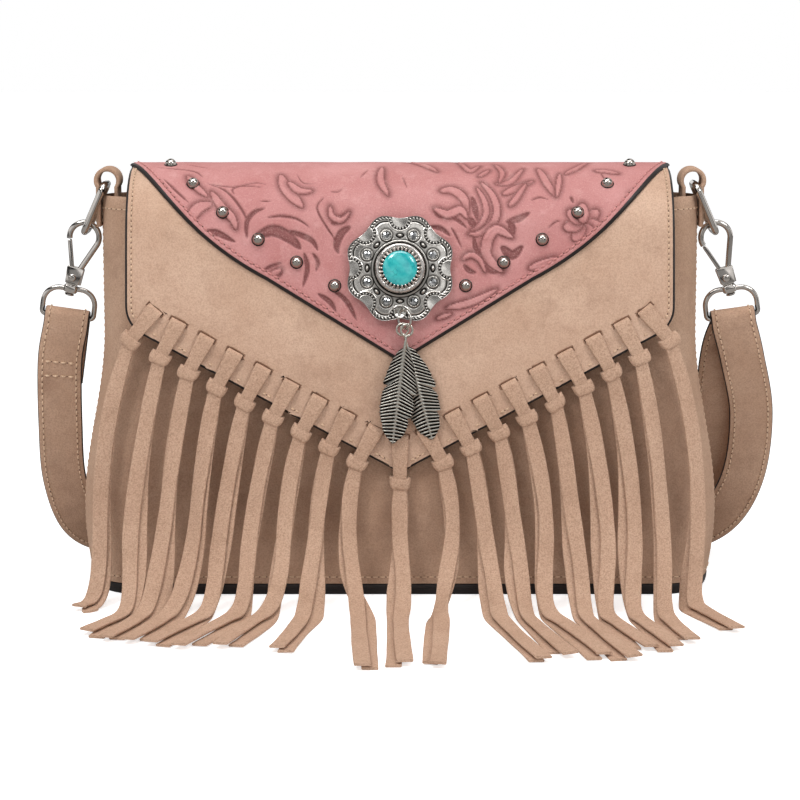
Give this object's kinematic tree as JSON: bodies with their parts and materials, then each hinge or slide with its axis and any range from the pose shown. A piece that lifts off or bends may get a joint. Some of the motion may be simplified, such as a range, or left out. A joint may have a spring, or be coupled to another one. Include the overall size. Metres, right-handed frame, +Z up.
{
  "type": "shoulder bag",
  "caption": "Soft suede shoulder bag with a pointed fold-over flap, tooled overlay, round concho with a feather charm, long looped fringe and a clip-on strap.",
  "frame": {"origin": "middle of the base panel's underside, on the floor", "axes": "+X to the wearer's right seen from the front of the bag, across its width; -Y towards the front, where the flap closes; +Z up"},
  "size_m": [0.3596, 0.2327, 0.2051],
  "materials": {
    "suede": "napped suede",
    "tooled_leather": "tooled, antiqued and satin",
    "polished_nickel": "polished",
    "antique_silver": "antiqued",
    "turquoise": "polished cabochon",
    "lining_cloth": "woven"
  },
  "bodies": {
    "bag": {"front_panel": "suede", "back_panel": "suede", "base_panel": "suede", "lining": "lining_cloth", "flap_back_band": "suede", "tab_left": "suede", "tab_right": "suede", "strap": "suede", "snap_socket": "polished_nickel"},
    "flap": {"flap": "suede", "flap_overlay": "tooled_leather", "concho_plate": "antique_silver", "concho_bezel": "antique_silver", "turquoise_stone": "turquoise", "snap_stud": "polished_nickel", "stud_left_1": "antique_silver", "stud_left_2": "antique_silver", "stud_left_3": "antique_silver", "stud_left_4": "antique_silver", "stud_left_5": "antique_silver", "stud_left_6": "antique_silver", "stud_right_1": "antique_silver", "stud_right_2": "antique_silver", "stud_right_3": "antique_silver", "stud_right_4": "antique_silver", "stud_right_5": "antique_silver", "stud_right_6": "antique_silver", "tassel_centre": "suede", "tassel_left_1": "suede", "tassel_left_2": "suede", "tassel_left_3": "suede", "tassel_left_4": "suede", "tassel_left_5": "suede", "tassel_left_6": "suede", "tassel_left_7": "suede", "tassel_left_8": "suede", "tassel_left_9": "suede", "tassel_right_1": "suede", "tassel_right_2": "suede", "tassel_right_3": "suede", "tassel_right_4": "suede", "tassel_right_5": "suede", "tassel_right_6": "suede", "tassel_right_7": "suede", "tassel_right_8": "suede", "tassel_right_9": "suede"},
    "jump_ring": {"jump_ring": "antique_silver"},
    "feather_left": {"feather_left": "antique_silver"},
    "feather_right": {"feather_right": "antique_silver"},
    "ring_left": {"ring_left": "polished_nickel"},
    "strap_d_ring_left": {"strap_d_ring_left": "polished_nickel"},
    "hook_left": {"hook_left": "polished_nickel"},
    "hook_gate_left": {"hook_gate_left": "polished_nickel"},
    "ring_right": {"ring_right": "polished_nickel"},
    "strap_d_ring_right": {"strap_d_ring_right": "polished_nickel"},
    "hook_right": {"hook_right": "polished_nickel"},
    "hook_gate_right": {"hook_gate_right": "polished_nickel"}
  },
  "joints": [
    {"name": "flap_hinge", "type": "hinge", "parent": "bag", "child": "flap", "pos_m": [0, 0.0202, 0.187], "axis": [-1, 0, 0], "range_deg": [0, 150]},
    {"name": "jump_ring_swing", "type": "hinge", "parent": "flap", "child": "jump_ring", "pos_m": [0, -0.0417, 0.13577], "axis": [0, 1, 0], "range_deg": [-20, 20]},
    {"name": "feather_left_swing", "type": "hinge", "parent": "jump_ring", "child": "feather_left", "pos_m": [0.00309, -0.04539, 0.12798], "axis": [0, 1, 0], "range_deg": [-12, 12]},
    {"name": "feather_right_swing", "type": "hinge", "parent": "jump_ring", "child": "feather_right", "pos_m": [0.00116, -0.04309, 0.12798], "axis": [0, 1, 0], "range_deg": [-12, 12]},
    {"name": "ring_left_swing", "type": "hinge", "parent": "bag", "child": "ring_left", "pos_m": [-0.13978, 0, 0.19191], "axis": [0, -1, 0], "range_deg": [0, 4]},
    {"name": "strap_d_ring_left_rock", "type": "hinge", "parent": "bag", "child": "strap_d_ring_left", "pos_m": [-0.15956, 0, 0.12853], "axis": [1, 0, 0], "range_deg": [-3, 3]},
    {"name": "hook_left_swivel", "type": "hinge", "parent": "strap_d_ring_left", "child": "hook_left", "pos_m": [-0.15769, 0, 0.1418], "axis": [-0.2756, 0, -0.9613], "range_deg": [-30, 30]},
    {"name": "hook_left_gate", "type": "hinge", "parent": "hook_left", "child": "hook_gate_left", "pos_m": [-0.15657, 0, 0.1472], "axis": [0, 1, 0], "range_deg": [0, 18], "stiffness_Nm_per_rad": 0.02, "springref_deg": -20.05},
    {"name": "ring_right_swing", "type": "hinge", "parent": "bag", "child": "ring_right", "pos_m": [0.13978, 0, 0.19191], "axis": [0, 1, 0], "range_deg": [0, 4]},
    {"name": "strap_d_ring_right_rock", "type": "hinge", "parent": "bag", "child": "strap_d_ring_right", "pos_m": [0.15956, 0, 0.12853], "axis": [1, 0, 0], "range_deg": [-3, 3]},
    {"name": "hook_right_swivel", "type": "hinge", "parent": "strap_d_ring_right", "child": "hook_right", "pos_m": [0.15769, 0, 0.1418], "axis": [0.2756, 0, -0.9613], "range_deg": [-30, 30]},
    {"name": "hook_right_gate", "type": "hinge", "parent": "hook_right", "child": "hook_gate_right", "pos_m": [0.15578, 0, 0.14697], "axis": [0, 1, 0], "range_deg": [0, 18], "stiffness_Nm_per_rad": 0.02, "springref_deg": -20.05}
  ]
}
